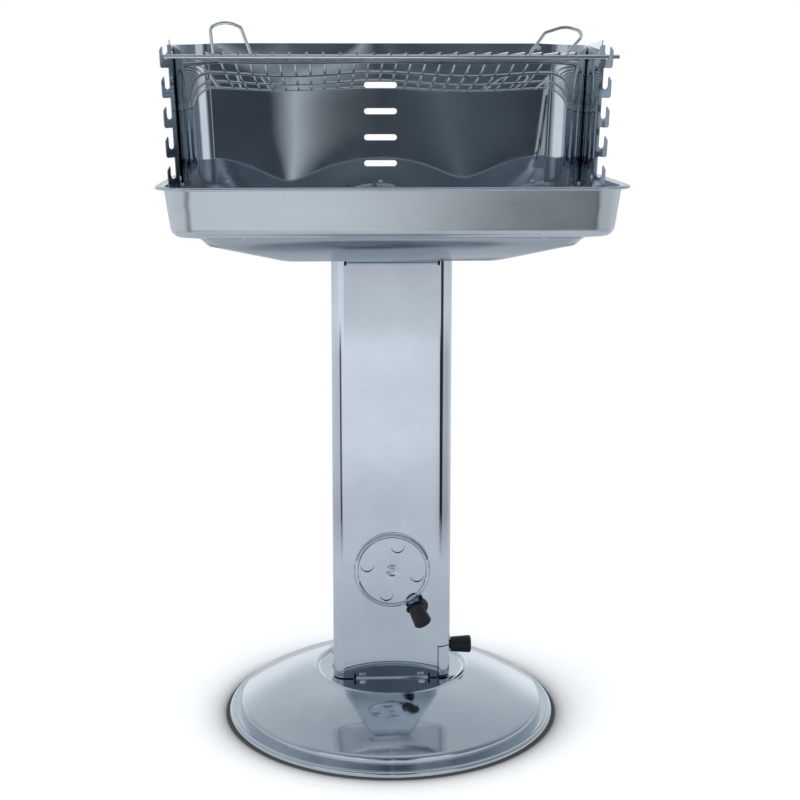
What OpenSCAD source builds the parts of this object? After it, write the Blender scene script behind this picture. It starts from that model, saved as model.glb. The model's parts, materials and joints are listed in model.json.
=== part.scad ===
// Free-standing pedestal charcoal grill in stainless sheet steel.
// Millimetres, +Z up, +X to the user's right, the user stands on the -Y side.
// The origin is on the floor under the middle of the round base.

/* [Base] */
// Radius of the base over its rolled rim
base_r = 225; // [200:1:280]
// Radius of the rolled rim's round section
rim_bead_r = 4; // [3:0.5:6]
// How much the rolled rim is pressed flat where it stands
rim_flat = 0.2; // [0.1:0.05:0.4]
// Width of the flat ring outside the cone's wall
ring_w = 15; // [13:0.5:30]
// Height of the recessed plate that the column stands on
plate_z = 60; // [45:1:90]
// Radius of the recessed plate
plate_r = 97.5; // [90:0.5:120]
// Thickness of the base sheet
base_t = 1.2; // [0.8:0.1:2]

/* [Column] */
// Width of the column
column_w = 160; // [140:1:180]
// Depth of the column
column_d = 98; // [88:1:120]
// Outer radius of the column's corners
column_corner_r = 16; // [10:0.5:20]
// Thickness of the column sheet
column_t = 1.2; // [0.8:0.1:2]
// Height of the column's top above the floor
column_top_z = 637; // [480:1:760]

/* [Air vent] */
// Height of the vent's centre above the floor
vent_z = 214.6; // [185:0.5:330]
// Radius of the vent disc
vent_r = 52.7; // [48:0.1:58]
// Radius of each air hole
vent_hole_r = 9.3; // [6:0.1:10]
// Distance of the air holes from the centre
vent_hole_at = 34.5; // [31:0.1:35]

/* [Ash drawer] */
// Height of the opening in the column's side
drawer_open_h = 44; // [36:1:60]
// Length of the ash box
drawer_l = 140; // [110:1:140]
// Width of the ash box
drawer_w = 80; // [60:1:84]

/* [Fire tray] */
// Width of the tray over its rim
tray_w = 602; // [560:1:640]
// Depth of the tray over its rim
tray_d = 300; // [290:1:330]
// Height of the air pan between the column and the tray
pan_h = 37; // [30:1:50]
// Height of the tray itself
tray_h = 65; // [58:1:75]
// Thickness of the tray sheet
tray_t = 1.2; // [0.8:0.1:2]

/* [Windshield] */
// How far the windshield rises above the tray's rim
shield_rise = 182; // [171:1:200]
// How far left of the tray's middle the windshield stands
shield_shift = 9; // [0:0.5:9]
// Thickness of the windshield sheets
shield_t = 1; // [0.8:0.1:1.2]
// Vertical distance between the grate levels
level_pitch = 36.5; // [30:0.5:37]
// Number of grate levels
levels = 5; // [3:1:5]

/* [Grates] */
// Spacing of the cooking grate's bars
bar_pitch = 20.8; // [16:0.1:26]
// Radius of the cooking grate's frame wire
frame_wire_r = 2.75; // [2.25:0.05:3]
// Radius of the bars
bar_r = 1.75; // [1.25:0.05:2]

/* [Hidden] */

$fn = 48;
overrun = 1;
wire_joint_in = 0.3;
wire_joint_step = 0.02;
bend_step = 0.01;
running_gap = 0.3;
shank_gap = 0.2;
steel_colour = "#b9bec4";
satin_colour = "#a9afb2";
wire_colour = "#d5d8da";
screw_colour = "#8f9498";
black_colour = "#1c1d1f";

// Fasteners
m5_r = 2.5;
m4_r = 2;
pan_head_share = 1.85;
pan_height_share = 1.05;
head_edge_share = 0.25;
recess_l_share = 2.1;
recess_w_share = 0.42;
recess_d_share = 1;
nut_share = 1.9;
nut_height_share = 1.5;
thread_end = 1.5;

// Base outline
cone_wall_r = base_r - ring_w;
ring_top_z = 7.2;
ring_tuck = 20;
ring_inner_r = cone_wall_r - ring_tuck;
rim_z = rim_bead_r - rim_flat;
ring_edge_r = base_r - rim_bead_r - sqrt(pow(rim_bead_r, 2) - pow(ring_top_z - base_t / 2 - rim_z, 2));
bead_half_w = 5.5;
bead_h = 3;
bead_r = (pow(bead_half_w, 2) + pow(bead_h, 2)) / (2 * bead_h);
bead_start_angle = 180 - asin(1 - bead_h / bead_r);
bead_end_angle = 48;
shoulder_r = 8;
shoulder_start_angle = 62;
shoulder_z = 15;
cone_bulge = 4;
cone_steps = 10;
bead_at = plate_r + bead_half_w;
bead_z = plate_z + bead_h - bead_r;
stiffener_margin = 8;
stiffener_r = plate_r - stiffener_margin;
stiffener_t = 3;

// Column details
foot_step = 1.4;
column_z = plate_z + foot_step;
bend_r = 3;
bend_h = 7;
relief_w = 3;
foot_flange_in = 31;
foot_flange_w = column_w - 2 * foot_flange_in;
foot_flange_d = 22;
foot_screw_in = 9;
foot_screw_out = 13;
foot_screw_x = foot_flange_w / 2 - foot_screw_in;
foot_screw_y = column_d / 2 + foot_screw_out;
top_flange_in = 20;
top_flange_w = column_w - 2 * top_flange_in;
top_flange_d = 16;
top_screw_side = 15;
top_screw_in = 10;
top_screw_x = top_flange_w / 2 - top_screw_side;
top_screw_y = column_d / 2 - top_screw_in;
angle_w = 66;
angle_leg = 14;
side_screw_y = 26;
side_screw_up = 10;
side_screw_z = plate_z + side_screw_up;
angle_screw_y = 16;
angle_screw_in = 5;
angle_screw_x = column_w / 2 - column_t - angle_leg + angle_screw_in;

// Vent details, measured outward from the column's face
vent_turn_angle = -57.6;
vent_hole_turn = 45;
vent_sheet = 1;
vent_flat_out = 1.8;
vent_boss_r = 6;
vent_boss_slope = 3;
vent_bead_w = 5.1;
vent_lip_w = 1.6;
vent_lip_r = vent_r - vent_lip_w;
vent_bead_in_r = vent_lip_r - vent_bead_w;
vent_bead_h = 3.2;
vent_bead_steps = 10;
tab_w = 14;
tab_t = 1.2;
tab_rise = 0.1;
fold_overlap = 0.3;
tab_out = 13.5;
tab_reach = vent_r + tab_out;
tab_fold_l = 25;
tab_fold_angle = 45;
tab_hole_at = 15;
washer_h = 1.2;

// Knob profile, from its inner end outward
knob_l = 28.5;
knob_in_r = 10.2;
knob_out_r = 12;
knob_edge_r = 3;
knob_hub_r = 6;
knob_hub_l = 3.8;
knob_collar_r = 12.7;
knob_collar_l = 1.6;
knob_dish_r = 7.5;
knob_dish_h = 1.2;
knob_bore_l = 14;

// Ash drawer details
drawer_gap = 1.5;
drawer_lift = 0.4;
drawer_z = plate_z + bead_h + drawer_lift;
drawer_split_in = 0.2;
drawer_split_x = column_w / 2 - column_corner_r - drawer_split_in;
drawer_front_t = 1.2;
drawer_box_t = 1;
drawer_box_drop = 8;
drawer_box_h = drawer_open_h - drawer_box_drop;
drawer_box_x = column_w / 2 - drawer_front_t;
drawer_knob_share = 0.63;
drawer_knob_z = column_z + drawer_open_h * drawer_knob_share;
runner_w = 12;
runner_y = 24;
runner_end_in = 12;

// Tray outline
flange_w = 12.5;
tray_rim_r = 2.2;
tray_corner_r = 50;
tray_draft = 6.6;
tray_foot_r = 14;
tray_wall_x = tray_w / 2 - flange_w;
tray_wall_y = tray_d / 2 - flange_w;
tray_path_r = tray_corner_r - flange_w;
tray_floor_z = column_top_z + pan_h;
tray_top_z = tray_floor_z + tray_h;
tray_lip_z = tray_top_z - tray_rim_r;

// Air pan outline
pan_t = 1.2;
pan_in_x = 36.5;
pan_in_y = 34.5;
pan_top_x = tray_wall_x - pan_in_x;
pan_top_y = tray_wall_y - pan_in_y;
pan_break_in_x = 15;
pan_break_in_y = 9;
pan_break_x = pan_top_x - pan_break_in_x;
pan_break_y = pan_top_y - pan_break_in_y;
pan_flat_out_x = 69;
pan_flat_out_y = 11;
pan_flat_x = column_w / 2 + pan_flat_out_x;
pan_flat_y = column_d / 2 + pan_flat_out_y;
pan_lip = 11;
pan_corner_r = 24;
pan_break_share = 0.6;
pan_slice = 0.2;
duct_in_x = 18;
duct_in_y = 19;
duct_x = column_w / 2 - duct_in_x;
duct_y = column_d / 2 - duct_in_y;
duct_corner_r = 8;
rivet_in = 62;
rivet_x = pan_top_x - rivet_in;
rivet_y = pan_top_y + pan_lip / 2;
rivet_r = 2.4;
rivet_head_r = 4.4;
rivet_head_h = 1.4;

// Air holes in the tray's floor, above the pan
air_hole_r = 8;
air_hole_pitch = 50;
air_hole_margin = 44;
air_hole_columns = 2 * floor((pan_top_x - air_hole_margin) / air_hole_pitch) + 1;
air_hole_rows = 2 * floor((pan_top_y - air_hole_margin) / air_hole_pitch) + 1;

// Windshield plan
shield_top_z = tray_top_z + shield_rise;
shield_sunk = 19;
shield_foot_z = tray_top_z - shield_sunk;
shield_h = shield_top_z - shield_foot_z;
back_gap = 4.9;
back_y = tray_wall_y - back_gap;
return_y = back_y + shield_t;
side_gap = 3.2;
side_half_w = tray_wall_x - shield_shift - side_gap;
shield_corner_r = 45;
corner_x = side_half_w - shield_corner_r;
corner_y = return_y + shield_t - shield_corner_r;
back_end_in = 4.8;
back_half_w = corner_x - back_end_in;
return_l = 16.5;
return_end_x = back_half_w - return_l;
toe_in = 4.6;
lean = 2.6;
side_front_in = 21.1;
side_l = corner_y + tray_wall_y - side_front_in;
lower_screw_in = 9.5;
lower_screw_x = back_half_w - lower_screw_in;
lower_screw_drop = 12;
lower_screw_z = tray_top_z - lower_screw_drop;
upper_screw_in = 3.9;
upper_screw_x = back_half_w - upper_screw_in;
upper_screw_drop = 6.4;
upper_screw_z = shield_top_z - upper_screw_drop;
side_screw_at = 8;
slot_w = 46.4;
slot_h = 8.4;
slot_drop = 21.2;
slot_top_z = shield_top_z - slot_drop;

// Hook rails, one leg on the side sheet and a toothed leg turned outward
rail_t = 1.2;
rail_leg = 13;
rail_forward = 1.6;
hook_angle = 50;
rail_out_angle = hook_angle - toe_in;
rail_seat_gap = 0.06;
hook_margin = 5.5;
pocket_w = 8.8;
hook_tooth_w = 5;
hook_arm_drop = 26;
hook_tip_h = 5;
hook_tip_flat = 1.2;
hook_chamfer = 2;
pocket_d = 15.6;
rail_top_over = 2;
rail_foot_under = 6;
rail_w = hook_margin + pocket_w + hook_tooth_w;
rail_screw_drop = 9;
rail_start = [shield_corner_r - shield_t - rail_seat_gap - rail_t, -side_l - rail_forward];
rail_start_x = corner_x + rail_start[0] * cos(toe_in) + rail_start[1] * sin(toe_in);
rail_start_y = corner_y - rail_start[0] * sin(toe_in) + rail_start[1] * cos(toe_in);
pocket_at = hook_margin + pocket_w / 2;
pocket_x = rail_start_x + pocket_at * cos(rail_out_angle + toe_in);
pocket_y = rail_start_y - pocket_at * sin(rail_out_angle + toe_in) + rail_t / 2 * cos(rail_out_angle + toe_in);

// Cooking grate
grate_shift = 4.75;
tongue_r = 2;
tongue_w = 38;
tongue_out = 10;
tongue_bend = 6;
slot_seat_gap = 0.6;
grate_z = slot_top_z - slot_h / 2 + tongue_r + slot_seat_gap;
grate_front_y = pocket_y;
grate_back_gap = 11.5;
grate_back_y = back_y - grate_back_gap;
front_wire_over = 6.7;
front_wire_half = side_half_w + front_wire_over;
grate_side_gap = 26.7;
grate_half_w = side_half_w - grate_side_gap;
bar_gaps = round(2 * grate_half_w / bar_pitch);
grate_corner_r = 18;
bar_over = 2.5;
cross_wire_share = [0.34, 0.68];
weld_depth = 0.25;
bar_z = grate_z + frame_wire_r + bar_r - weld_depth;
seat_gap = 0.45;
hook_top_z = lower_screw_z + pocket_d + (grate_z - frame_wire_r - seat_gap - lower_screw_z
    + (pocket_x - lower_screw_x) * sin(lean)) / cos(lean);

// Handles on the front wire
handle_wire_r = 2;
handle_w = 46;
handle_end_in = 111;
handle_in_x = front_wire_half - handle_end_in;
handle_h_left = 36.5;
handle_h_right = 30.5;
handle_foot_gap = 0.1;
handle_crown = 4;
handle_bend = 7;
handle_grip_bend = 30;
handle_in_left = 11.5;
handle_out_left = 3;
handle_in_right = 18;
handle_out_right = 22;

// Coal grate
coal_in_x = 56.5;
coal_in_y = 45.5;
coal_half_x = tray_wall_x - coal_in_x;
coal_half_y = tray_wall_y - coal_in_y;
coal_wire_r = 2.5;
coal_corner_r = 22;
coal_leg_h = 16;
coal_z = tray_floor_z + tray_t + coal_leg_h;
coal_bar_r = 2;
coal_bar_pitch = 22.1;
coal_bar_x = coal_half_x - coal_corner_r;
coal_bar_gaps = round(2 * coal_bar_x / coal_bar_pitch);
coal_leg_in = 82;
coal_leg_x = coal_half_x - coal_leg_in;

// Sheet helpers
function unit(v) = v / norm(v);
function left_of(v) = [-v[1], v[0]];
function heading(p, i) = unit(p[min(i + 1, len(p) - 1)] - p[min(i, len(p) - 2)]);
function miter(p, i) = let (a = heading(p, max(i - 1, 0)), b = heading(p, i))
    (left_of(a) + left_of(b)) / (1 + a * b);
function skin(p, t) = concat(p, [for (i = [len(p) - 1 : -1 : 0]) p[i] + t * miter(p, i)]);
function arc(c, r, from, to, steps) = [for (i = [0 : steps])
    c + r * [cos(from + (to - from) * i / steps), sin(from + (to - from) * i / steps)]];

module rounded_rect(w, d, r) {
    square([w - 2 * r, d], center = true);
    square([w, d - 2 * r], center = true);
    for (x = [-1, 1], y = [-1, 1])
        translate([x * (w / 2 - r), y * (d / 2 - r)]) circle(r = r);
}

module along_x(l) {
    rotate([90, 0, 90]) linear_extrude(height = l, center = true) children();
}

// The child profile, offset outward in x and height in y, taken round a rounded rectangle
module round_frame(half_x, half_y, r) {
    for (s = [0, 180]) rotate([0, 0, s]) {
        translate([half_x, 0, 0]) rotate([90, 0, 0])
            linear_extrude(height = 2 * (half_y - r), center = true) children();
        translate([0, half_y, 0]) rotate([90, 0, 90])
            linear_extrude(height = 2 * (half_x - r), center = true) children();
    }
    for (x = [-1, 1], y = [-1, 1])
        translate([x * (half_x - r), y * (half_y - r), 0])
            rotate([0, 0, x > 0 ? (y > 0 ? 0 : -90) : (y > 0 ? 90 : 180)])
                rotate_extrude(angle = 90) translate([r, 0]) children();
}

module rod(p, q, r) {
    v = q - p;
    translate(p) rotate([0, acos(v[2] / norm(v)), atan2(v[1], v[0])]) cylinder(h = norm(v), r = r);
}

// A wire of radius r in the XY plane through the points, bent round at every inner one.
// Its straights are a hair thinner and run a little way into its bends, so that they join cleanly.
function turn_at(p, i) = let (a = unit(p[i] - p[i - 1]), b = unit(p[i + 1] - p[i]))
    atan2(left_of(a) * b, a * b);
function trim_at(p, i, bends) = i == 0 || i == len(p) - 1 ? 0 : bends[i - 1] * tan(abs(turn_at(p, i)) / 2);
module flat_wire(p, bends, r) {
    for (i = [0 : len(p) - 2]) {
        a = unit(p[i + 1] - p[i]);
        from = p[i] + a * (trim_at(p, i, bends) - (i > 0 ? wire_joint_in : 0));
        to = p[i + 1] - a * (trim_at(p, i + 1, bends) - (i < len(p) - 2 ? wire_joint_in : 0));
        rod([from[0], from[1], 0], [to[0], to[1], 0], r - wire_joint_step);
    }
    for (i = [1 : len(p) - 2]) {
        a = unit(p[i] - p[i - 1]);
        turn = turn_at(p, i);
        c = p[i] - a * trim_at(p, i, bends) + left_of(a) * bends[i - 1] * sign(turn);
        translate([c[0], c[1], 0]) rotate([0, 0, atan2(a[1], a[0]) - 90 * sign(turn) + min(turn, 0)])
            rotate_extrude(angle = abs(turn)) translate([bends[i - 1], 0]) circle(r = r);
    }
}

// A pan-head screw whose head lies on z = 0 and whose shank goes down
module pan_screw(r, l) {
    head_r = r * pan_head_share;
    head_h = r * pan_height_share;
    difference() {
        rotate_extrude() polygon(concat([[0, 0], [head_r, 0]],
            [for (a = [15 : 15 : 90])
                [head_r * cos(a), head_h * (head_edge_share + (1 - head_edge_share) * sin(a))]]));
        for (turn = [0, 90]) rotate([0, 0, turn]) translate([0, 0, head_h])
            cube([r * recess_l_share, r * recess_w_share, head_h * recess_d_share], center = true);
    }
    translate([0, 0, -l]) cylinder(h = l + head_h / 4, r = r);
}

// A hexagon nut whose upper face lies on z = 0
module hex_nut(r) {
    translate([0, 0, -r * nut_height_share]) difference() {
        cylinder(h = r * nut_height_share, r = r * nut_share, $fn = 6);
        translate([0, 0, -overrun]) cylinder(h = r * nut_height_share + 2 * overrun, r = r + shank_gap / 4);
    }
}

// A hole through a sheet, centred on its middle
module hole(r, t) {
    cylinder(h = t + 2 * overrun, r = r, center = true);
}

// Base
module base_ring() color(steel_colour) {
    rotate_extrude($fn = 128) union() {
        translate([ring_inner_r, ring_top_z - base_t]) square([ring_edge_r - ring_inner_r, base_t]);
        intersection() {
            translate([base_r - rim_bead_r, rim_z]) circle(r = rim_bead_r);
            translate([base_r - 2 * rim_bead_r, 0]) square([2 * rim_bead_r, 2 * rim_bead_r]);
        }
    }
}

shoulder_c = [cone_wall_r - shoulder_r, shoulder_z];
cone_from = [bead_at, bead_z] + bead_r * [cos(bead_end_angle), sin(bead_end_angle)];
cone_to = shoulder_c + shoulder_r * [cos(shoulder_start_angle), sin(shoulder_start_angle)];
cone_outline = concat([[0, plate_z]],
    arc([bead_at, bead_z], bead_r, bead_start_angle, bead_end_angle, 10),
    [for (i = [1 : cone_steps - 1]) let (k = i / cone_steps)
        cone_from + k * (cone_to - cone_from) + [0, 4 * cone_bulge * k * (1 - k)]],
    arc(shoulder_c, shoulder_r, shoulder_start_angle, 0, 6),
    [[cone_wall_r, ring_top_z]]);

module foot_screw_places() {
    for (x = [-foot_screw_x, foot_screw_x], y = [-foot_screw_y, foot_screw_y])
        translate([x, y, plate_z]) children();
    for (y = [-angle_screw_y, angle_screw_y])
        translate([-angle_screw_x, y, plate_z]) children();
}

module base_cone() color(steel_colour) difference() {
    rotate_extrude($fn = 128) polygon(skin(cone_outline, -base_t));
    foot_screw_places() translate([0, 0, -base_t / 2]) hole(m5_r + shank_gap, base_t);
}

module base_stiffener() color(screw_colour) difference() {
    translate([0, 0, plate_z - base_t - stiffener_t]) cylinder(h = stiffener_t, r = stiffener_r, $fn = 96);
    foot_screw_places() translate([0, 0, -base_t - stiffener_t / 2]) hole(m5_r + shank_gap, stiffener_t);
}

// Column
foot_flange_outline = concat([[-column_d / 2, column_z + bend_h]],
    arc([-column_d / 2 - bend_r, plate_z + column_t + bend_r], bend_r, 0, -90, 6),
    [[-column_d / 2 - foot_flange_d, plate_z + column_t]]);
top_flange_outline = concat([[-column_d / 2, column_top_z - bend_h]],
    arc([-column_d / 2 + bend_r, column_top_z - bend_r], bend_r, 180, 90, 6),
    [[-column_d / 2 + top_flange_d, column_top_z]]);

module both_faces() {
    children();
    rotate([0, 0, 180]) children();
}

module at_vent() {
    translate([0, -column_d / 2, vent_z]) rotate([90, 0, 0]) children();
}

module vent_holes(turn, t) {
    for (k = [0 : 3]) rotate([0, 0, turn + 90 * k]) translate([vent_hole_at, 0, t / 2]) hole(vent_hole_r, t);
}

module column_top_places() {
    for (x = [-top_screw_x, top_screw_x], y = [-top_screw_y, top_screw_y])
        translate([x, y, column_top_z]) children();
}

module side_screw_places() {
    for (y = [-side_screw_y, side_screw_y])
        translate([-column_w / 2, y, side_screw_z]) rotate([0, -90, 0]) children();
}

module column() color(steel_colour) difference() {
    union() {
        difference() {
            translate([0, 0, column_z]) linear_extrude(height = column_top_z - column_z) difference() {
                rounded_rect(column_w, column_d, column_corner_r);
                rounded_rect(column_w - 2 * column_t, column_d - 2 * column_t, column_corner_r - column_t);
            }
            both_faces() {
                translate([0, -column_d / 2, column_z]) cube([foot_flange_w + 2 * relief_w,
                    4 * column_t, 2 * bend_h], center = true);
                translate([0, -column_d / 2, column_top_z]) cube([top_flange_w + 2 * relief_w,
                    4 * column_t, 2 * bend_h], center = true);
            }
        }
        both_faces() {
            along_x(foot_flange_w) polygon(skin(foot_flange_outline, column_t));
            along_x(top_flange_w) polygon(skin(top_flange_outline, -column_t));
        }
    }
    translate([drawer_split_x - drawer_gap, -column_d, plate_z])
        cube([column_w, 2 * column_d, column_z - plate_z + drawer_open_h]);
    at_vent() translate([0, 0, -column_t]) {
        vent_holes(vent_turn_angle, column_t);
        translate([0, 0, column_t / 2]) hole(m4_r + shank_gap, column_t);
    }
    foot_screw_places() translate([0, 0, column_t / 2]) hole(m5_r + shank_gap, column_t);
    column_top_places() translate([0, 0, -column_t / 2]) hole(m5_r + shank_gap, column_t);
    side_screw_places() translate([0, 0, -column_t / 2]) hole(m4_r + shank_gap, column_t);
}

module column_angle() color(screw_colour) difference() {
    translate([-column_w / 2 + column_t, -angle_w / 2, plate_z]) union() {
        cube([angle_leg, angle_w, column_t]);
        cube([column_t, angle_w, 2 * (side_screw_z - plate_z)]);
    }
    side_screw_places() translate([0, 0, -1.5 * column_t]) hole(m4_r + shank_gap, column_t);
    foot_screw_places() translate([0, 0, column_t / 2]) hole(m5_r + shank_gap, column_t);
}

foot_grip = column_t + base_t + stiffener_t;
module column_foot_screws() color(screw_colour)
    foot_screw_places() translate([0, 0, column_t])
        pan_screw(m5_r, foot_grip + m5_r * nut_height_share + thread_end);

module column_side_screws() color(screw_colour)
    side_screw_places() pan_screw(m4_r, 2 * column_t + m4_r * nut_height_share + thread_end);

module column_nuts() color(screw_colour) {
    foot_screw_places() translate([0, 0, column_t - foot_grip]) hex_nut(m5_r);
    side_screw_places() translate([0, 0, -2 * column_t]) hex_nut(m4_r);
}

module column_top_screws() color(screw_colour)
    column_top_places() translate([0, 0, pan_t])
        pan_screw(m5_r, pan_t + column_t + m5_r * nut_height_share + thread_end);

module column_top_nuts() color(screw_colour)
    column_top_places() translate([0, 0, -column_t]) hex_nut(m5_r);

// Air vent
vent_outline = concat(
    [[m4_r + shank_gap / 4, running_gap], [vent_boss_r, running_gap],
        [vent_boss_r + vent_boss_slope, vent_flat_out], [vent_bead_in_r, vent_flat_out]],
    [for (i = [1 : vent_bead_steps - 1]) let (k = i / vent_bead_steps)
        [vent_bead_in_r + k * (vent_lip_r - vent_bead_in_r),
            vent_flat_out + k * (running_gap - vent_flat_out) + vent_bead_h * sin(180 * k)]],
    [[vent_lip_r, running_gap], [vent_r, running_gap]]);

module tab_plate() {
    difference() {
        union() {
            translate([0, bend_step - tab_w / 2]) square([tab_fold_l - tab_w / 2, tab_w - 2 * bend_step]);
            translate([tab_fold_l - tab_w / 2, 0]) circle(r = tab_w / 2);
        }
        translate([tab_hole_at, 0]) circle(r = m4_r + shank_gap / 4);
    }
}

module at_tab_fold() {
    at_vent() rotate([0, 0, vent_turn_angle]) translate([tab_reach, 0, running_gap + tab_rise + fold_overlap])
        rotate([0, tab_fold_angle - 180, 0]) children();
}

module vent_disc() color(steel_colour) {
    at_vent() difference() {
        rotate_extrude($fn = 96) polygon(skin(vent_outline, vent_sheet));
        vent_holes(vent_turn_angle + vent_hole_turn, 2 * vent_flat_out);
    }
    at_vent() rotate([0, 0, vent_turn_angle])
        translate([vent_r - vent_sheet / 2, tab_rise - tab_w / 2, running_gap + tab_rise])
            cube([tab_reach + fold_overlap - vent_r + vent_sheet / 2, tab_w - 2 * tab_rise, tab_t]);
    at_tab_fold() translate([0, 0, -tab_t]) linear_extrude(height = tab_t) tab_plate();
}

module vent_pivot_screw() color(screw_colour)
    at_vent() translate([0, 0, running_gap + vent_sheet + running_gap])
        pan_screw(m4_r, 2 * running_gap + vent_sheet + column_t + washer_h + m4_r * nut_height_share
            + thread_end);

module vent_spring_washer() color(screw_colour)
    at_vent() translate([0, 0, -column_t - washer_h]) difference() {
        cylinder(h = washer_h, r = 2 * m4_r);
        translate([0, 0, washer_h / 2]) hole(m4_r + shank_gap / 2, washer_h);
    }

module vent_pivot_nut() color(screw_colour)
    at_vent() translate([0, 0, -column_t - washer_h]) hex_nut(m4_r);

// A tapered knob that stands on z = 0
module knob(collar_r, collar_l, hub_l) {
    z0 = hub_l;
    difference() {
        rotate_extrude() polygon(concat(
            [[0, 0], [hub_l > 0 ? knob_hub_r : knob_in_r, 0]],
            hub_l > 0 ? [[knob_hub_r, z0]] : [],
            collar_l > 0 ? [[collar_r, z0], [collar_r, z0 + collar_l]] : [],
            [[knob_in_r, z0 + collar_l]],
            arc([knob_out_r - knob_edge_r, z0 + knob_l - knob_edge_r], knob_edge_r, 0, 90, 5),
            [[knob_dish_r, z0 + knob_l], [knob_dish_r - knob_dish_h, z0 + knob_l - knob_dish_h],
                [0, z0 + knob_l - knob_dish_h]]));
        translate([0, 0, -overrun]) cylinder(h = knob_bore_l + overrun, r = m4_r + shank_gap / 4);
    }
}

module vent_knob() color(black_colour)
    at_tab_fold() translate([tab_hole_at, 0, -tab_t]) rotate([180, 0, 0])
        knob(knob_collar_r, knob_collar_l, 0);

module vent_knob_screw() color(screw_colour)
    at_tab_fold() translate([tab_hole_at, 0, 0]) pan_screw(m4_r, tab_t + knob_bore_l - thread_end);

// Ash drawer
module right_end(t) {
    intersection() {
        difference() {
            rounded_rect(column_w, column_d, column_corner_r);
            rounded_rect(column_w - 2 * t, column_d - 2 * t, column_corner_r - t);
        }
        translate([drawer_split_x, -column_d]) square([column_w, 2 * column_d]);
    }
}

module ash_plan(t) {
    intersection() {
        rounded_rect(2 * drawer_box_x - 2 * t, column_d - 2 * column_t - 2 * t, column_corner_r - column_t - t);
        translate([drawer_box_x - drawer_l + t, -drawer_w / 2 + t])
            square([drawer_l - 2 * t + overrun, drawer_w - 2 * t]);
    }
}

module at_drawer_knob() {
    translate([column_w / 2, 0, drawer_knob_z]) rotate([0, 90, 0]) children();
}

module drawer_box() color(satin_colour) difference() {
    translate([0, 0, drawer_z]) difference() {
        linear_extrude(height = drawer_box_h) ash_plan(0);
        translate([0, 0, drawer_box_t]) linear_extrude(height = drawer_box_h) ash_plan(drawer_box_t);
    }
    at_drawer_knob() translate([0, 0, -drawer_front_t - drawer_box_t / 2]) hole(m4_r + shank_gap, drawer_box_t);
}

module drawer_front() color(steel_colour) difference() {
    translate([0, 0, drawer_z]) linear_extrude(height = column_z + drawer_open_h - drawer_gap - drawer_z)
        right_end(drawer_front_t);
    at_drawer_knob() translate([0, 0, -drawer_front_t / 2]) hole(m4_r + shank_gap, drawer_front_t);
}

// Strips on the plate that carry the ash box, so that it clears the bead when it is pulled out
module drawer_runners() color(screw_colour)
    for (y = [-runner_y, runner_y])
        translate([drawer_box_x - drawer_l + runner_end_in, y - runner_w / 2, plate_z])
            cube([drawer_l - 2 * runner_end_in, runner_w, drawer_z - running_gap - plate_z]);

module drawer_knob() color(black_colour)
    at_drawer_knob() knob(knob_in_r, 0, knob_hub_l);

module drawer_knob_screw() color(screw_colour)
    at_drawer_knob() translate([0, 0, -drawer_front_t - drawer_box_t]) rotate([180, 0, 0])
        pan_screw(m4_r, drawer_front_t + drawer_box_t + knob_bore_l - thread_end);

// Air pan under the tray
module pan_slab(half_x, half_y, z) {
    translate([0, 0, z]) linear_extrude(height = pan_slice)
        rounded_rect(2 * half_x, 2 * half_y, pan_corner_r, $fn = 32);
}

pan_break_z = column_top_z + pan_break_share * (tray_floor_z - column_top_z);
module pan_body(in, lift) {
    hull() {
        pan_slab(pan_top_x - in, pan_top_y - in, tray_floor_z - pan_slice + lift);
        pan_slab(pan_break_x - in, pan_break_y - in, pan_break_z + lift);
    }
    hull() {
        pan_slab(pan_break_x - in, pan_break_y - in, pan_break_z + lift);
        pan_slab(pan_flat_x - in, pan_flat_y - in, column_top_z + lift);
    }
}

module rivet_places() {
    for (x = [-rivet_x, 0, rivet_x], y = [-rivet_y, rivet_y])
        translate([x, y, tray_floor_z]) children();
}

module air_pan() color(steel_colour) difference() {
    union() {
        pan_body(0, 0);
        translate([0, 0, tray_floor_z - pan_t]) linear_extrude(height = pan_t)
            rounded_rect(2 * (pan_top_x + pan_lip), 2 * (pan_top_y + pan_lip), pan_corner_r + pan_lip / 2);
    }
    pan_body(pan_t, pan_t);
    translate([0, 0, column_top_z - overrun]) linear_extrude(height = 3 * pan_t)
        rounded_rect(2 * duct_x, 2 * duct_y, duct_corner_r);
    column_top_places() translate([0, 0, pan_t / 2]) hole(m5_r + shank_gap, pan_t);
    rivet_places() translate([0, 0, -pan_t / 2]) hole(rivet_r, pan_t);
}

module air_pan_rivets() color(screw_colour)
    rivet_places() {
        translate([0, 0, -pan_t]) cylinder(h = pan_t + tray_t, r = rivet_r);
        translate([0, 0, tray_t]) cylinder(h = rivet_head_h / 2, r = rivet_head_r);
        translate([0, 0, -pan_t - rivet_head_h]) cylinder(h = rivet_head_h, r1 = rivet_r, r2 = rivet_head_r);
    }

// Fire tray, its wall profile measured outward from the top of the inner wall
wall_run = (tray_h - tray_foot_r) * tan(tray_draft);
foot_c = [-wall_run - tray_foot_r, tray_floor_z + tray_foot_r];
tray_outline = concat(arc(foot_c, tray_foot_r, -90, -tray_draft, 8),
    [[tray_t, tray_lip_z], [flange_w - tray_rim_r, tray_lip_z]]);
tray_floor_x = tray_wall_x + foot_c[0];
tray_floor_y = tray_wall_y + foot_c[0];
tray_floor_r = tray_path_r + foot_c[0];

module at_lower_screws() {
    for (x = [-lower_screw_x, 0, lower_screw_x])
        translate([x - shield_shift, back_y, lower_screw_z]) rotate([90, 0, 0]) children();
}

module at_upper_screws() {
    for (x = [-upper_screw_x, upper_screw_x])
        translate([x - shield_shift, back_y, upper_screw_z]) rotate([90, 0, 0]) children();
}

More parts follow.
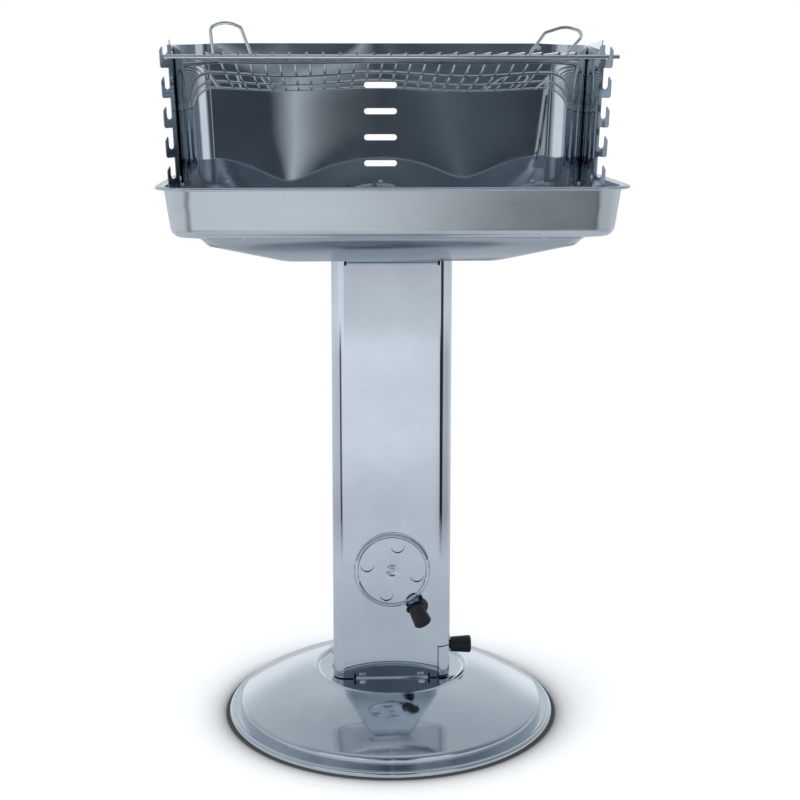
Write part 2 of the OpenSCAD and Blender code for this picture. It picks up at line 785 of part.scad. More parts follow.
// The side screws go straight out along X, level with the lower ones
side_seat_gap = 0.4;
side_screw_l = (side_screw_at - (shield_corner_r - shield_t) * sin(toe_in)) / cos(toe_in);
side_screw_x = corner_x + (shield_corner_r - shield_t) * cos(toe_in) - side_screw_l * sin(toe_in)
    - side_seat_gap;
module at_side_screw(s) {
    translate([-shield_shift + s * side_screw_x, corner_y - side_screw_at, lower_screw_z])
        rotate([0, -90 * s, 0]) children();
}

module tray() color(satin_colour) difference() {
    union() {
        round_frame(tray_wall_x, tray_wall_y, tray_path_r) union() {
            polygon(skin(tray_outline, tray_t));
            translate([flange_w - tray_rim_r, tray_lip_z]) circle(r = tray_rim_r);
        }
        translate([0, 0, tray_floor_z]) linear_extrude(height = tray_t)
            rounded_rect(2 * tray_floor_x, 2 * tray_floor_y, tray_floor_r);
    }
    for (i = [0 : air_hole_columns - 1], j = [0 : air_hole_rows - 1])
        translate([(i - (air_hole_columns - 1) / 2) * air_hole_pitch,
            (j - (air_hole_rows - 1) / 2) * air_hole_pitch, tray_floor_z + tray_t / 2])
                hole(air_hole_r, tray_t);
    rivet_places() translate([0, 0, tray_t / 2]) hole(rivet_r, tray_t);
    at_lower_screws() translate([0, 0, -flange_w / 2]) hole(m4_r + shank_gap, flange_w);
    for (s = [-1, 1]) at_side_screw(s) translate([0, 0, -2 * flange_w]) hole(m4_r + shank_gap, 4 * flange_w);
}

// Coal grate
module coal_grate_frame() color(screw_colour) {
    translate([0, 0, coal_z]) round_frame(coal_half_x, coal_half_y, coal_corner_r) circle(r = coal_wire_r);
    for (x = [-coal_leg_x, coal_leg_x], y = [-coal_half_y, coal_half_y])
        translate([x, y, tray_floor_z + tray_t + running_gap])
            cylinder(h = coal_z - tray_floor_z - tray_t - running_gap, r = coal_wire_r);
}

module coal_grate_bars() color(screw_colour)
    for (i = [0 : coal_bar_gaps]) {
        x = coal_bar_x * (2 * i / coal_bar_gaps - 1);
        z = coal_z + coal_wire_r + coal_bar_r;
        rod([x, -coal_half_y - coal_wire_r, z], [x, coal_half_y + coal_wire_r, z], coal_bar_r);
    }

// Windshield
module long_slot(w, h, t) {
    for (x = [-1, 1]) translate([x * (w - h) / 2, 0, 0]) hole(h / 2, t);
    cube([w - h, h, t + 2 * overrun], center = true);
}

module shield_back() color(steel_colour) difference() {
    translate([-shield_shift - back_half_w, back_y, shield_foot_z]) cube([2 * back_half_w, shield_t, shield_h]);
    for (i = [0 : levels - 1])
        translate([-shield_shift, back_y + shield_t / 2, slot_top_z - i * level_pitch])
            rotate([90, 0, 0]) long_slot(slot_w, slot_h, shield_t);
    at_lower_screws() translate([0, 0, -shield_t / 2]) hole(m4_r + shank_gap, shield_t);
    at_upper_screws() translate([0, 0, -shield_t / 2]) hole(m4_r + shank_gap, shield_t);
}

// The right side, leaning outward about its lower screw; the left side is its mirror image
module shield_side_place(s) {
    translate([-shield_shift, 0, 0]) mirror([s < 0 ? 1 : 0, 0, 0])
        translate([lower_screw_x, 0, lower_screw_z]) rotate([0, lean, 0])
            translate([-lower_screw_x, 0, -lower_screw_z]) children();
}

module side_wall_frame() {
    translate([corner_x, corner_y, 0]) rotate([0, 0, -toe_in]) children();
}

module at_rail_screws(s) {
    for (z = [hook_top_z - rail_screw_drop,
            hook_top_z - (levels - 1) * level_pitch - hook_arm_drop + rail_screw_drop])
        shield_side_place(s) side_wall_frame()
            translate([rail_start[0], -side_l + rail_leg / 2, z]) rotate([0, -90, 0]) children();
}

// Everything on the fire's side of the bent sheet's outline, whose corner has the radius r
module side_fill(r, more) {
    circle(r = r, $fn = 96);
    translate([return_end_x - corner_x - more, -shield_corner_r - more])
        square([corner_x - return_end_x + more, shield_corner_r + r + more]);
    rotate([0, 0, -toe_in]) translate([-shield_corner_r - more, -side_l - more])
        square([shield_corner_r + r + more - bend_step, side_l + more]);
}

module shield_side(s) color(steel_colour) difference() {
    shield_side_place(s) translate([corner_x, corner_y, shield_foot_z])
        linear_extrude(height = shield_h) intersection() {
            difference() {
                side_fill(shield_corner_r, 0);
                side_fill(shield_corner_r - shield_t, overrun);
            }
            translate([return_end_x - corner_x, -2 * side_l]) square([side_l, 3 * side_l]);
        }
    at_lower_screws() translate([0, 0, -1.5 * shield_t]) hole(m4_r + shank_gap, shield_t);
    at_upper_screws() translate([0, 0, -1.5 * shield_t]) hole(m4_r + shank_gap, shield_t);
    at_side_screw(s) translate([0, 0, -shield_t]) hole(m4_r + shank_gap, 4 * shield_t);
    at_rail_screws(s) translate([0, 0, -rail_t - rail_seat_gap - shield_t / 2])
        hole(m4_r + shank_gap, shield_t);
}

module hook_outline() {
    difference() {
        polygon([[hook_margin / 2, -hook_arm_drop], [rail_w - hook_chamfer, -hook_arm_drop],
            [rail_w, hook_chamfer - hook_arm_drop], [rail_w, -hook_tip_h],
            [rail_w - hook_tooth_w + hook_tip_flat, 0], [rail_w - hook_tooth_w, -hook_tip_flat],
            [rail_w - hook_tooth_w, pocket_w / 2 - pocket_d], [hook_margin / 2, pocket_w / 2 - pocket_d]]);
        translate([pocket_at, pocket_w / 2 - pocket_d]) circle(r = pocket_w / 2);
    }
}

rail_foot_z = hook_top_z - (levels - 1) * level_pitch - hook_arm_drop - rail_foot_under;
module hook_rail(s) color(steel_colour) difference() {
    shield_side_place(s) side_wall_frame() {
        translate([rail_start[0], rail_start[1], rail_foot_z])
            cube([rail_t, rail_leg + rail_forward, hook_top_z + rail_top_over - rail_foot_z]);
        translate([rail_start[0], rail_start[1], 0]) rotate([0, 0, -rail_out_angle])
            translate([0, rail_t, 0]) rotate([90, 0, 0]) linear_extrude(height = rail_t) union() {
                translate([0, rail_foot_z]) square([hook_margin, hook_top_z + rail_top_over - rail_foot_z]);
                for (i = [0 : levels - 1]) translate([0, hook_top_z - i * level_pitch]) hook_outline();
            }
    }
    at_rail_screws(s) translate([0, 0, -rail_t / 2]) hole(m4_r + shank_gap, rail_t);
}

module shield_left() shield_side(-1);
module shield_right() shield_side(1);
module hook_rail_left() hook_rail(-1);
module hook_rail_right() hook_rail(1);

module hook_rail_screws() color(screw_colour)
    for (s = [-1, 1]) at_rail_screws(s)
        pan_screw(m4_r, rail_t + rail_seat_gap + shield_t + m4_r * nut_height_share + thread_end);

module hook_rail_nuts() color(screw_colour)
    for (s = [-1, 1]) at_rail_screws(s) translate([0, 0, -rail_t - rail_seat_gap - shield_t]) hex_nut(m4_r);

// How far the tray's wall stands behind the back sheet and outside the side sheets
wall_in = (tray_lip_z - lower_screw_z) * tan(tray_draft);
nut_seat_gap = 0.55;
back_grip = tray_wall_y - wall_in + tray_t + nut_seat_gap - back_y;
side_grip_right = tray_wall_x - wall_in + tray_t + nut_seat_gap + shield_shift - side_screw_x;
side_grip_left = tray_wall_x - wall_in + tray_t + nut_seat_gap - shield_shift - side_screw_x;
spacer_l = side_grip_right - 2 * tray_t - 2 * nut_seat_gap - 2 * shield_t;

module shield_lower_screws() color(screw_colour)
    at_lower_screws() pan_screw(m4_r, back_grip + m4_r * nut_height_share + thread_end);

module shield_side_screws() color(screw_colour) {
    at_side_screw(-1) pan_screw(m4_r, side_grip_left + m4_r * nut_height_share + thread_end);
    at_side_screw(1) pan_screw(m4_r, side_grip_right + m4_r * nut_height_share + thread_end);
}

module shield_upper_screws() color(screw_colour)
    at_upper_screws() pan_screw(m4_r, 2 * shield_t + m4_r * nut_height_share + thread_end);

module shield_nuts() color(screw_colour) {
    at_lower_screws() translate([0, 0, -back_grip]) hex_nut(m4_r);
    at_upper_screws() translate([0, 0, -2 * shield_t]) hex_nut(m4_r);
    at_side_screw(-1) translate([0, 0, -side_grip_left]) hex_nut(m4_r);
    at_side_screw(1) translate([0, 0, -side_grip_right]) hex_nut(m4_r);
}

module shield_spacer() color(screw_colour)
    at_side_screw(1) translate([0, 0, -2 * shield_t - spacer_l]) difference() {
        cylinder(h = spacer_l, r = 2 * m4_r);
        translate([0, 0, spacer_l / 2]) hole(m4_r + shank_gap, spacer_l);
    }

// Cooking grate
module grate_front_wire() color(wire_colour)
    rod([-grate_shift - front_wire_half, grate_front_y, grate_z],
        [-grate_shift + front_wire_half, grate_front_y, grate_z], frame_wire_r);

module grate_side(s) {
    translate([-grate_shift, 0, grate_z]) {
        rod([s * grate_half_w, grate_front_y + frame_wire_r, 0],
            [s * grate_half_w, grate_back_y - grate_corner_r, 0], frame_wire_r);
        translate([s * (grate_half_w - grate_corner_r), grate_back_y - grate_corner_r, 0])
            rotate([0, 0, s > 0 ? 0 : 90]) rotate_extrude(angle = 90)
                translate([grate_corner_r, 0]) circle(r = frame_wire_r);
    }
}

module grate_frame() color(wire_colour) {
    grate_side(-1);
    grate_side(1);
    rod([-grate_shift - grate_half_w + grate_corner_r, grate_back_y, grate_z],
        [-grate_shift + grate_half_w - grate_corner_r, grate_back_y, grate_z], frame_wire_r);
}

module grate_cross_wires() color(wire_colour)
    for (k = cross_wire_share) {
        y = grate_front_y + k * (grate_back_y - grate_front_y);
        x = grate_half_w - frame_wire_r;
        rod([-grate_shift - x, y, grate_z], [-grate_shift + x, y, grate_z], frame_wire_r);
    }

module grate_bars() color(wire_colour)
    for (i = [1 : bar_gaps - 1]) {
        x = -grate_shift + grate_half_w * (2 * i / bar_gaps - 1);
        rod([x, grate_front_y - bar_over, bar_z], [x, grate_back_y + bar_over, bar_z], bar_r);
    }

module grate_tongue() color(wire_colour)
    translate([-shield_shift, 0, grate_z]) flat_wire([
        [-tongue_w / 2, grate_back_y + frame_wire_r + tongue_r],
        [-tongue_w / 2, return_y + tongue_out],
        [tongue_w / 2, return_y + tongue_out],
        [tongue_w / 2, grate_back_y + frame_wire_r + tongue_r]], [tongue_bend, tongue_bend], tongue_r);

module handle(s, h, lean_in, lean_out) color(wire_colour)
    translate([-grate_shift, grate_front_y, grate_z + frame_wire_r + handle_foot_gap])
        mirror([s < 0 ? 1 : 0, 0, 0]) rotate([90, 0, 0]) flat_wire([
            [handle_in_x, handle_wire_r * lean_in / h],
            [handle_in_x + lean_in, h - handle_crown],
            [handle_in_x + (handle_w + lean_in + lean_out) / 2, h + handle_crown],
            [handle_in_x + handle_w + lean_out, h - handle_crown],
            [handle_in_x + handle_w, handle_wire_r * lean_out / h]],
            [handle_bend, handle_grip_bend, handle_bend], handle_wire_r);

module handle_left() handle(-1, handle_h_left, handle_in_left, handle_out_left);
module handle_right() handle(1, handle_h_right, handle_in_right, handle_out_right);

base_ring();
base_cone();
base_stiffener();
column();
column_angle();
column_foot_screws();
column_side_screws();
column_nuts();
column_top_screws();
column_top_nuts();
vent_disc();
vent_pivot_screw();
vent_spring_washer();
vent_pivot_nut();
vent_knob();
vent_knob_screw();
drawer_box();
drawer_front();
drawer_runners();
drawer_knob();
drawer_knob_screw();
air_pan();
air_pan_rivets();
tray();
coal_grate_frame();
coal_grate_bars();
shield_back();
shield_left();
shield_right();
hook_rail_left();
hook_rail_right();
hook_rail_screws();
hook_rail_nuts();
shield_lower_screws();
shield_side_screws();
shield_upper_screws();
shield_nuts();
shield_spacer();
grate_front_wire();
grate_frame();
grate_cross_wires();
grate_bars();
grate_tongue();
handle_left();
handle_right();
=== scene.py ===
"""Looks of the stainless pedestal charcoal grill: camera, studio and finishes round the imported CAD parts.

Lengths are in metres. A direction round the grill is a share of a turn: 0 and 1 are behind it, 0.5 is towards the
camera, and the directions above 0.5 are on its right.
"""
import json
import math

import bpy
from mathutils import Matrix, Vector

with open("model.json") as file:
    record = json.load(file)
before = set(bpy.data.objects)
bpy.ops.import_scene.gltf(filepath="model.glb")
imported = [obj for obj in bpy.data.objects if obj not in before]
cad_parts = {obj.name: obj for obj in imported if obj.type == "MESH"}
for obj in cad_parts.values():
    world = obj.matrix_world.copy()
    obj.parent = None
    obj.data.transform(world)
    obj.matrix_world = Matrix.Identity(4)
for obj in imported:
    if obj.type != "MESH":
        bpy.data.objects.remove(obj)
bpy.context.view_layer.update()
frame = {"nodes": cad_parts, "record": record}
nodes = frame["nodes"]
scene = bpy.context.scene
scene.view_settings.view_transform = "Standard"

# Camera, fitted to the photograph; angles in degrees, lens and sensor in millimetres
CAMERA_AT = (-0.0795, -1.9874, 0.868)
CAMERA_YAW = -2.29
CAMERA_TILT = 9.09
CAMERA_LENS = 67.05
CAMERA_SENSOR = 36
CAMERA_SHIFT = (0.01175, -0.1)
CAMERA_CLIP_END = 100

# Name, place, target, size and power of each lamp
LAMPS = [
    ("left_box", (-2.6, -0.6, 1.5), (0, 0, 0.6), (2.2, 2.2), 26),
    ("top_box", (0.2, -0.4, 2.8), (0, 0, 0.3), (2.4, 2.0), 34),
]

# Faces that meet at more than this many degrees keep a sharp edge
CREASE_ANGLE = 28
WELD_WITHIN = 0.000002
FACE_AREA_WEIGHT = 100

# Noise of the wiped smears and of the grinding lines: scale, detail and roughness
SMEARS = (9.0, 5.0, 0.62)
SMEAR_SPAN = (0.35, 0.65)
GRINDING = (1.0, 3.0, 0.7)
# Detail and roughness of the slow warp
WARP_NOISE = (1.0, 0.4)
# How much lighter or darker than its colour a smear makes the steel, and its share in how rough the steel is
SMEAR_TONE = 0.06
SMEAR_SHARE = 0.6
# The directions of the grinding lines, as noise scales along X, Y and Z; one number stands for rings round Z
ALONG_X = (4.0, 300.0, 300.0)
ALONG_Z = (260.0, 260.0, 3.0)
RINGS = 420.0

# Each steel: colour, least roughness and what smears add to it, height and scale of the slow warp, height and
# direction of the grinding lines
STEELS = {
    "polished_sheet": ((0.64, 0.695, 0.765), 0.028, 0.04, 0.0002, 4.0, 0.0000012, ALONG_Z),
    "spun_sheet": ((0.65, 0.70, 0.745), 0.05, 0.06, 0.0003, 5.0, 0.000004, RINGS),
    "satin_sheet": ((0.645, 0.70, 0.75), 0.26, 0.07, 0.0003, 6.0, 0.000003, ALONG_X),
    "pan_sheet": ((0.50, 0.54, 0.58), 0.13, 0.08, 0.0004, 7.0, 0.000002, ALONG_X),
    "chrome_wire": ((0.78, 0.80, 0.82), 0.08, 0.08, 0.0001, 30.0, 0, ALONG_X),
    "coal_wire": ((0.42, 0.42, 0.43), 0.34, 0.14, 0.0001, 60.0, 0, ALONG_X),
    "screw_steel": ((0.78, 0.81, 0.84), 0.30, 0.16, 0.0001, 90.0, 0, ALONG_X),
}
# Nodes whose finish differs from the rest of their slot
FINISHES = {
    "shield_back": "windshield_sheet",
    "shield_left": "windshield_sheet",
    "shield_right": "windshield_sheet",
    "base_cone": "spun_sheet",
    "base_ring": "spun_sheet",
}

# The windshield's thin sheet: its two tones, and how rough it is where smears are few and many
SHEET_DARK = (0.56, 0.605, 0.65, 1)
SHEET_LIGHT = (0.64, 0.685, 0.73, 1)
SHEET_ROUGH = (0.4, 0.7, 0.02, 0.07)
# Its waves run along X, in radians per metre from an offset. They grow with the cube of the height over STILL_Z
WAVE_OFFSET = 0.141
WAVE_RATE = 25.0
WAVE_GROWTH = -1.9
STILL_Z = 0.822
# It curls back over CURL_Z, with the square of the height, and has slow dents
CURL_Z = 0.80
CURL_GROWTH = -0.7
DENT_SCALE = 6.0
DENT_DEPTH = 0.0016

# The black plastic: its two tones, how rough it is where it is rubbed and where it isn't, and its moulded grain
PLASTIC_DARK = (0.004, 0.006, 0.009, 1)
PLASTIC_LIGHT = (0.010, 0.013, 0.018, 1)
PLASTIC_ROUGH = (0.3, 0.7, 0.36, 0.52)
GRAIN = (1400.0, 3.0, 0.6)
GRAIN_DEPTH = 0.00006
RUBBED = (60.0, 3.0, 0.5)

# The studio as the steel sees it: a tone for each direction. It is bright behind the grill. The narrow bands round
# 0.5 show in the windshield's back sheet, and the bright walls on both sides of them in its rounded corners
WALLS = [
    (0.0, 1.0), (0.06, 1.0), (0.16, 0.52), (0.25, 0.45), (0.34, 0.50), (0.36, 0.95), (0.435, 0.95),
    (0.455, 0.60), (0.472, 0.34), (0.484, 0.09), (0.4930, 0.08), (0.4955, 0.62), (0.4985, 0.62), (0.5012, 0.07),
    (0.506, 0.09), (0.511, 0.17), (0.516, 0.12), (0.524, 0.06), (0.536, 0.34), (0.556, 0.95), (0.605, 0.95),
    (0.630, 0.24), (0.70, 0.20), (0.78, 0.30), (0.86, 0.55), (0.94, 1.0), (1.0, 1.0),
]
CEILING = [
    (0.0, 0.66), (0.20, 0.56), (0.36, 0.36), (0.43, 0.17), (0.56, 0.14), (0.66, 0.30), (0.80, 0.46), (1.0, 0.66),
]
OVERHEAD = (0.44, 0.49, 0.53, 1)
# Height of a direction over the horizon, as its sine: the share of the ceiling in it, and where OVERHEAD takes over
CEILING_SHARE = [(0.0, 0.0), (0.12, 0.0), (0.45, 0.85), (0.8, 1.0)]
OVERHEAD_FROM = (0.66, 0.86)

# The floor as the steel sees it: its tone by distance from the grill, as a share of FLOOR_REACH
FLOOR_REACH = 8.0
FLOOR_GLOW = [
    (0.0, 0.54), (0.05, 0.64), (0.12, 0.74), (0.22, 0.93), (0.40, 0.96), (0.48, 1.00), (0.56, 0.92), (0.70, 0.80),
    (1.0, 0.40),
]
# Two dark cards lie on it, left and right of the camera, by direction from the point CARDS_X on the X axis
CARDS_X = 0.06
CARDS_FROM = (0.75, 1.05)
CARDS = [
    (0.0, 0.85), (0.375, 0.75), (0.392, 0.10), (0.42, 0.10), (0.447, 1.0), (0.484, 1.0), (0.5135, 0.97),
    (0.5175, 0.032), (0.575, 0.032), (0.595, 0.60), (0.70, 0.60), (0.85, 0.85), (1.0, 1.0),
]
# Farther out only the right card goes on, and the floor's left is brighter than its right
FAR_SIDES_FROM = (2.9, 3.6)
FAR_SIDES = [
    (0.0, 0.8), (0.33, 0.9), (0.36, 1.0), (0.470, 1.0), (0.500, 0.74), (0.527, 0.74), (0.535, 0.04),
    (0.575, 0.04), (0.595, 0.80), (0.70, 0.80), (1.0, 0.8),
]

# The floor as the camera sees it: plain white beyond these distances, and a contact shadow near the grill that is
# painted from ambient occlusion
WHITE_FROM = (0.36, 0.62)
OPEN_WITHIN = 0.20
OPEN_SAMPLES = 48
# How open a point of the floor is, low and high, and the floor's painted shade there, which darkens its colour and
# its added glow
PAINTED_CONTACT_SHADOW = (0.85, 1.0, 0.06, 0.96)
FLOOR_LIFT = 0.42

WHITE = (1, 1, 1, 1)
# Tints of a tone's red and green: at tone 0, and what is added to them by the time the tone reaches FULL_TONE
RED_TINT = (0.62, 0.32)
GREEN_TINT = (0.81, 0.16)
FULL_TONE = 0.8


class Tree:
    """A short way to write node trees. A value that is a socket is linked, any other value is set."""

    def __init__(self, tree):
        tree.nodes.clear()
        self.tree = tree

    def add(self, kind, **values):
        node = self.tree.nodes.new(kind)
        for key, value in values.items():
            setattr(node, key, value)
        return node

    def plug(self, socket, value):
        if isinstance(value, bpy.types.NodeSocket):
            self.tree.links.new(value, socket)
        else:
            socket.default_value = value

    def put(self, node, **inputs):
        """Fills inputs by name, with _ for a space."""
        for key, value in inputs.items():
            self.plug(node.inputs[key.replace("_", " ")], value)
        return node

    def fill(self, node, *values):
        """Fills inputs in order."""
        for socket, value in zip(node.inputs, values):
            self.plug(socket, value)
        return node

    def math(self, operation, *values):
        return self.fill(self.add("ShaderNodeMath", operation=operation), *values).outputs[0]

    def vector_math(self, operation, *values):
        return self.fill(self.add("ShaderNodeVectorMath", operation=operation), *values).outputs

    def split(self, vector):
        return self.fill(self.add("ShaderNodeSeparateXYZ"), vector).outputs

    def noise(self, vector, scale, detail, rough=0.5):
        node = self.add("ShaderNodeTexNoise")
        return self.put(node, Vector=vector, Scale=scale, Detail=detail, Roughness=rough).outputs["Fac"]

    def stretched(self, vector, scale):
        return self.put(self.add("ShaderNodeMapping"), Vector=vector, Scale=scale).outputs["Vector"]

    def span(self, value, low, high, out_low=0, out_high=1):
        return self.fill(self.add("ShaderNodeMapRange"), value, low, high, out_low, out_high).outputs["Result"]

    def mix(self, factor, a, b, blend_type="MIX"):
        node = self.add("ShaderNodeMix", data_type="RGBA", blend_type=blend_type)
        # The sockets of the colour kind of this node
        for index, value in ((0, factor), (6, a), (7, b)):
            self.plug(node.inputs[index], value)
        return node.outputs[2]

    def ramp(self, value, stops):
        node = self.add("ShaderNodeValToRGB")
        node.color_ramp.interpolation = "EASE"
        while len(node.color_ramp.elements) < len(stops):
            node.color_ramp.elements.new(0.5)
        for element, (at, tone) in zip(node.color_ramp.elements, stops):
            element.position = at
            element.color = (*tone, 1) if isinstance(tone, tuple) else (tone, tone, tone, 1)
        return self.fill(node, value).outputs[0]

    def emission(self, colour, strength=1.0):
        return self.put(self.add("ShaderNodeEmission"), Color=colour, Strength=strength).outputs[0]

    def mix_shader(self, factor, a, b):
        return self.fill(self.add("ShaderNodeMixShader"), factor, a, b).outputs[0]


def new_material(name):
    material = bpy.data.materials.new(name)
    material.use_nodes = True
    tree = Tree(material.node_tree)
    place = tree.add("ShaderNodeTexCoord").outputs["Object"]
    return material, tree, place


def finish_material(material, tree, surface):
    tree.put(tree.add("ShaderNodeOutputMaterial"), Surface=surface)
    return material


def principled(tree, **inputs):
    return tree.put(tree.add("ShaderNodeBsdfPrincipled"), **inputs).outputs[0]


def bump(tree, height, distance, **inputs):
    node = tree.add("ShaderNodeBump")
    return tree.put(node, Height=height, Distance=distance, Strength=1.0, **inputs).outputs["Normal"]


def around(tree, place, scale):
    """A vector that is the same all round the Z axis, for the rings of spun sheet."""
    radius = tree.vector_math("LENGTH", tree.stretched(place, (1.0, 1.0, 0.0)))["Value"]
    ring = tree.add("ShaderNodeCombineXYZ")
    return tree.fill(ring, tree.math("MULTIPLY", radius, scale)).outputs[0]


def steel(name, colour, rough, rough_more, warp, warp_scale, brush, brush_scale):
    """Sheet steel: a slow warp bends its reflections, fine grinding lines and faint smears break them up."""
    material, tree, place = new_material(name)
    smear = tree.noise(place, *SMEARS)
    spun = not isinstance(brush_scale, tuple)
    path = around(tree, place, brush_scale) if spun else tree.stretched(place, brush_scale)
    lines = tree.noise(path, *GRINDING)
    slow = tree.noise(place, warp_scale, *WARP_NOISE)
    dark = tuple(c * (1 - SMEAR_TONE) for c in colour)
    light = tuple(min(1.0, c * (1 + SMEAR_TONE)) for c in colour)
    base = tree.mix(tree.span(smear, *SMEAR_SPAN), (*dark, 1), (*light, 1))
    blend = tree.math(
        "ADD", tree.math("MULTIPLY", smear, SMEAR_SHARE), tree.math("MULTIPLY", lines, 1 - SMEAR_SHARE)
    )
    roughness = tree.span(blend, *SMEAR_SPAN, rough, rough + rough_more)
    normal = bump(tree, slow, warp)
    if brush:
        normal = bump(tree, lines, brush, Normal=normal)
    return finish_material(
        material, tree, principled(tree, Base_Color=base, Metallic=1.0, Roughness=roughness, Normal=normal)
    )


def buckles(tree, place):
    """Height of the windshield's thin sheet: it waves along X, and curls back near its top edge."""
    across, _, up = tree.split(place)
    wave = tree.math("COSINE", tree.math("MULTIPLY", tree.math("ADD", across, WAVE_OFFSET), WAVE_RATE))
    from_still = tree.math("SUBTRACT", up, STILL_Z)
    cubed = tree.math("MULTIPLY", tree.math("MULTIPLY", from_still, from_still), from_still)
    waves = tree.math("MULTIPLY", tree.math("MULTIPLY", wave, cubed), WAVE_GROWTH)
    above = tree.math("MAXIMUM", tree.math("SUBTRACT", up, CURL_Z), 0.0)
    curl = tree.math("MULTIPLY", tree.math("MULTIPLY", above, above), CURL_GROWTH)
    dents = tree.math("MULTIPLY", tree.noise(place, DENT_SCALE, 0.0), DENT_DEPTH)
    return tree.math("ADD", tree.math("ADD", waves, curl), dents)


def windshield_sheet(name):
    """Bright-rolled thin sheet: a near mirror whose buckles warp what it shows, with a few faint wiped smears."""
    material, tree, place = new_material(name)
    smear = tree.noise(place, *SMEARS)
    base = tree.mix(tree.span(smear, *SMEAR_SPAN), SHEET_DARK, SHEET_LIGHT)
    roughness = tree.span(smear, *SHEET_ROUGH)
    normal = bump(tree, buckles(tree, place), 1.0)
    return finish_material(
        material, tree, principled(tree, Base_Color=base, Metallic=1.0, Roughness=roughness, Normal=normal)
    )


def plastic(name):
    """Moulded black plastic with a fine spark-eroded grain, rubbed a little smoother in places."""
    material, tree, place = new_material(name)
    rub = tree.noise(place, *RUBBED)
    base = tree.mix(rub, PLASTIC_DARK, PLASTIC_LIGHT)
    roughness = tree.span(rub, *PLASTIC_ROUGH)
    normal = bump(tree, tree.noise(place, *GRAIN), GRAIN_DEPTH)
    return finish_material(material, tree, principled(tree, Base_Color=base, Roughness=roughness, Normal=normal))


def make_materials():
    materials = {name: steel(name, *values) for name, values in STEELS.items()}
    materials["windshield_sheet"] = windshield_sheet("windshield_sheet")
    materials["black_plastic"] = plastic("black_plastic")
    return materials


def smooth_by_angle(obj):
    """Sharp edges at the crease angle, with flat faces kept flat beside their rounded edges."""
    own_normals = obj.data.attributes.get("custom_normal")
    if own_normals:
        obj.data.attributes.remove(own_normals)
    weld = obj.modifiers.new("weld", "WELD")
    weld.merge_threshold = WELD_WITHIN
    for polygon in obj.data.polygons:
        polygon.use_smooth = True
    split = obj.modifiers.new("split", "EDGE_SPLIT")
    split.split_angle = math.radians(CREASE_ANGLE)
    normal = obj.modifiers.new("normals", "WEIGHTED_NORMAL")
    normal.mode = "FACE_AREA"
    normal.weight = FACE_AREA_WEIGHT


def dress_nodes(materials):
    slots = {s["node"]: s["material_slot"] for s in frame["record"]["subparts"]}
    slots.update(FINISHES)
    for name, obj in nodes.items():
        obj.data.materials.clear()
        obj.data.materials.append(materials[slots[name]])
        smooth_by_angle(obj)


def make_camera():
    data = bpy.data.cameras.new("camera")
    data.lens = CAMERA_LENS
    data.sensor_width = CAMERA_SENSOR
    data.shift_x, data.shift_y = CAMERA_SHIFT
    data.clip_end = CAMERA_CLIP_END
    cam = bpy.data.objects.new("camera", data)
    cam.location = CAMERA_AT
    cam.rotation_euler = (math.radians(90 - CAMERA_TILT), 0, math.radians(CAMERA_YAW))
    scene.collection.objects.link(cam)
    scene.camera = cam


def cool(stops):
    """The tones of a ramp as light of a daylight studio: the darker, the bluer."""
    tinted = []
    for at, tone in stops:
        share = min(1.0, tone / FULL_TONE)
        red, green = (tone * (start + more * share) for start, more in (RED_TINT, GREEN_TINT))
        tinted.append((at, (red, green, tone)))
    return tinted


def turn_of(tree, across, along):
    """The direction round the grill of a vector, from its X and Y."""
    turn = tree.math("ARCTAN2", across, tree.math("MULTIPLY", along, -1.0))
    return tree.span(turn, -math.pi, math.pi)


def floor_in_steel(tree, place, distance):
    """The floor's tone as the steel sees it: its glow, with the cards on it."""
    across, along, _ = tree.split(tree.vector_math("SUBTRACT", place, (CARDS_X, 0, 0))["Vector"])
    turn = turn_of(tree, across, along)
    glow = tree.ramp(tree.math("DIVIDE", distance, FLOOR_REACH), cool(FLOOR_GLOW))
    cards = tree.mix(tree.span(distance, *CARDS_FROM), WHITE, tree.ramp(turn, CARDS))
    cards = tree.mix(tree.span(distance, *FAR_SIDES_FROM), cards, tree.ramp(turn, FAR_SIDES))
    return tree.mix(1.0, glow, cards, "MULTIPLY")


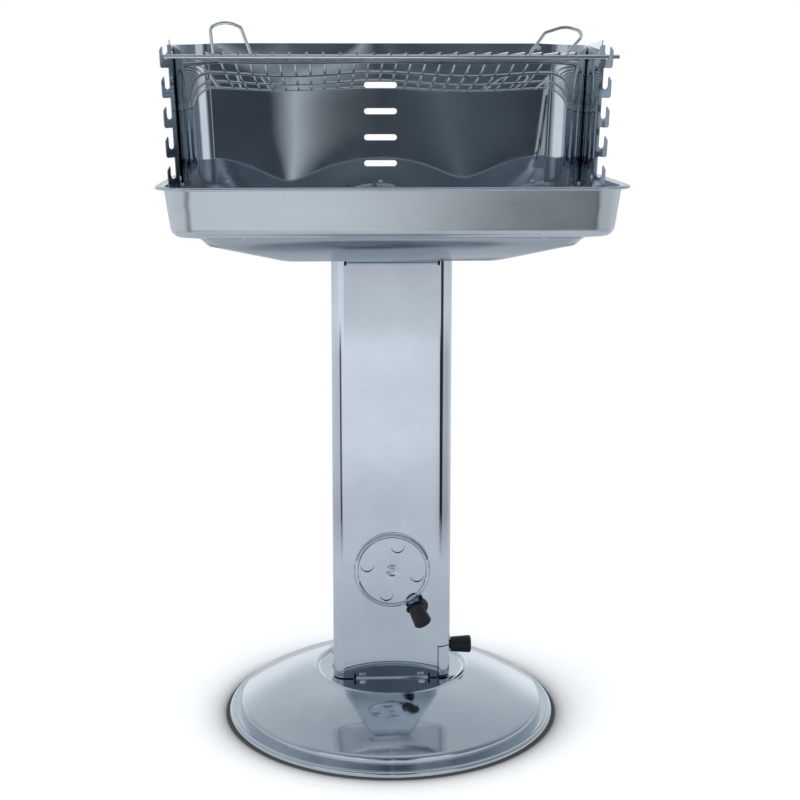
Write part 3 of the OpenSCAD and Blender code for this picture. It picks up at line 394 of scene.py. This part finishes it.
def floor_in_camera(tree, distance):
    """The floor as the camera sees it: a contact shadow painted from ambient occlusion near the grill, on top of
    its lit shading, and plain white farther out.
    """
    openness = tree.put(tree.add("ShaderNodeAmbientOcclusion", samples=OPEN_SAMPLES), Distance=OPEN_WITHIN)
    # Painted shadow: the ambient occlusion darkens the floor's colour and its added glow
    painted_shadow = tree.span(openness.outputs["AO"], *PAINTED_CONTACT_SHADOW)
    diffuse = tree.put(tree.add("ShaderNodeBsdfDiffuse"), Color=painted_shadow).outputs[0]
    near = tree.fill(tree.add("ShaderNodeAddShader"), diffuse, tree.emission(painted_shadow, FLOOR_LIFT)).outputs[0]
    return tree.mix_shader(tree.span(distance, *WHITE_FROM), near, tree.emission(WHITE))


def make_floor():
    bpy.ops.mesh.primitive_plane_add(size=2 * FLOOR_REACH, location=(0, 0, 0))
    floor = bpy.context.object
    floor.name = "floor"
    material, tree, place = new_material("floor")
    distance = tree.vector_math("LENGTH", place)["Value"]
    glow = tree.emission(floor_in_steel(tree, place, distance))
    seen = floor_in_camera(tree, distance)
    to_camera = tree.add("ShaderNodeLightPath").outputs["Is Camera Ray"]
    floor.data.materials.append(finish_material(material, tree, tree.mix_shader(to_camera, glow, seen)))


def make_world():
    """White to the camera. To the steel it is the studio: bright behind the grill, toned everywhere else."""
    world = bpy.data.worlds.new("studio")
    scene.world = world
    world.use_nodes = True
    tree = Tree(world.node_tree)
    across, along, up = tree.split(tree.add("ShaderNodeTexCoord").outputs["Generated"])
    turn = turn_of(tree, across, along)
    height = tree.ramp(up, CEILING_SHARE)
    room = tree.mix(height, tree.ramp(turn, cool(WALLS)), tree.ramp(turn, cool(CEILING)))
    room = tree.mix(tree.span(up, *OVERHEAD_FROM), room, OVERHEAD)
    to_camera = tree.add("ShaderNodeLightPath").outputs["Is Camera Ray"]
    colour = tree.mix(to_camera, room, WHITE)
    background = tree.put(tree.add("ShaderNodeBackground"), Color=colour, Strength=1.0).outputs[0]
    tree.put(tree.add("ShaderNodeOutputWorld"), Surface=background)


def make_lamp(name, place, target, size, power):
    """An area lamp that the steel doesn't show, because its reflection would blow polished sheet out to white."""
    data = bpy.data.lights.new(name, "AREA")
    data.shape = "RECTANGLE"
    data.size, data.size_y = size
    data.energy = power
    lamp = bpy.data.objects.new(name, data)
    lamp.location = place
    lamp.rotation_euler = (Vector(target) - Vector(place)).to_track_quat("-Z", "Y").to_euler()
    lamp.visible_glossy = False
    scene.collection.objects.link(lamp)


make_camera()
make_world()
make_floor()
for lamp_values in LAMPS:
    make_lamp(*lamp_values)
dress_nodes(make_materials())
